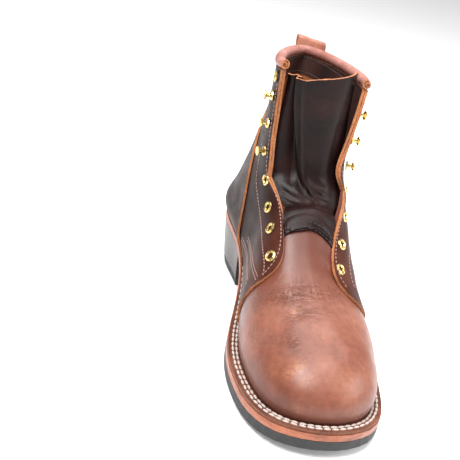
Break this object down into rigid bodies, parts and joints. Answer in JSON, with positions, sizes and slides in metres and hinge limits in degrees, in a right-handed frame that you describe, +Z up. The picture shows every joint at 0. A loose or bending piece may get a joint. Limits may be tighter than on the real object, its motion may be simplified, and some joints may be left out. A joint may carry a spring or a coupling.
{
  "type": "ankle boot",
  "caption": "Unlaced leather ankle boot for a left foot, with open throat, pleated tongue, lace hooks, rolled collar, rubber half sole and stacked heel.",
  "frame": {"origin": "middle of the boot's box, on the floor it stands on", "axes": "+Z up, toe to -Y, heel to +Y, inner side of the foot to -X, outer side to +X"},
  "size_m": [0.1174, 0.3118, 0.2217],
  "materials": {
    "vamp_leather": "waxed pull-up leather, reddish brown, creased at the ball",
    "quarter_leather": "waxed leather, dark brown, with raw tan cut edges",
    "tongue_leather": "smooth soft leather, very dark brown",
    "collar_leather": "rolled soft leather, pinkish brown",
    "sole_leather": "vegetable tanned sole leather, russet edge",
    "heel_leather": "stacked leather, black brown, polished",
    "rubber": "charcoal rubber, matt",
    "brass": "polished"
  },
  "bodies": {
    "root": {"outsole": "rubber", "midsole": "sole_leather", "heel_stack": "heel_leather", "top_lift": "rubber", "upper": "vamp_leather", "quarter_inner": "quarter_leather", "quarter_outer": "quarter_leather", "counter": "quarter_leather", "tongue": "tongue_leather", "insole": "sole_leather", "collar_roll": "collar_leather", "pull_loop": "collar_leather", "eyelet_inner_1": "brass", "eyelet_inner_2": "brass", "eyelet_inner_3": "brass", "eyelet_inner_4": "brass", "eyelet_inner_5": "brass", "hook_inner_1": "brass", "hook_inner_2": "brass", "hook_inner_3": "brass", "eyelet_outer_1": "brass", "eyelet_outer_2": "brass", "eyelet_outer_3": "brass", "eyelet_outer_4": "brass", "eyelet_outer_5": "brass", "hook_outer_1": "brass", "hook_outer_2": "brass", "hook_outer_3": "brass"}
  },
  "joints": []
}
